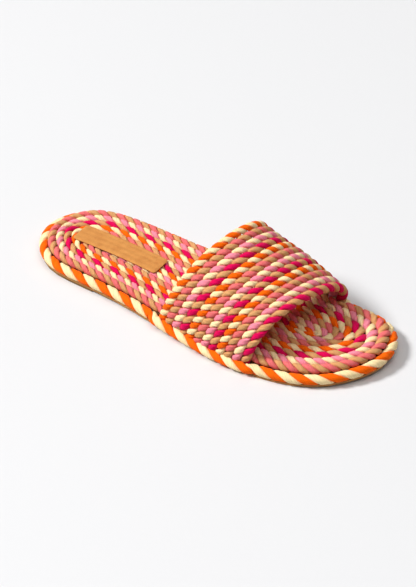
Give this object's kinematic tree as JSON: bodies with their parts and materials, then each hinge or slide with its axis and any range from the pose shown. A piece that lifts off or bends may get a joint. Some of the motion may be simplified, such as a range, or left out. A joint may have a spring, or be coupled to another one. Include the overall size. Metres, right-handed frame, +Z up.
{
  "type": "rope sandal",
  "caption": "Flat slide sandal for the right foot, coiled rope footbed and arched rope strap on a thin sole with a heel layer.",
  "frame": {"origin": "on the floor under the middle of the sandal's outline box", "axes": "+X from heel to toe, +Y to the inner side of this right shoe, +Z up"},
  "size_m": [0.248, 0.0924, 0.0618],
  "materials": {
    "outsole": "matt tan sheet",
    "heel_lift": "matt olive brown layer",
    "insole_board": "pressed fibre board",
    "rope_orange_cream": "twisted cotton cord, two colours",
    "rope_salmon_tan": "twisted cotton cord, two colours",
    "rope_pink_cream": "twisted cotton cord, two colours",
    "rope_magenta_tan": "twisted cotton cord, two colours",
    "suede": "brushed suede",
    "strap_ropes": "twisted cotton cords sewn side by side"
  },
  "bodies": {
    "root": {"outsole": "outsole", "heel_lift": "heel_lift", "insole_board": "insole_board", "edge_rope": "rope_orange_cream", "footbed_ring_1": "rope_salmon_tan", "footbed_ring_2": "rope_pink_cream", "footbed_ring_3": "rope_magenta_tan", "footbed_ring_4": "rope_orange_cream", "footbed_ring_5": "rope_salmon_tan", "footbed_ring_6": "rope_pink_cream", "core_strand_orange": "rope_orange_cream", "core_strand_magenta": "rope_magenta_tan", "sock_patch": "suede", "strap": "strap_ropes"}
  },
  "joints": []
}
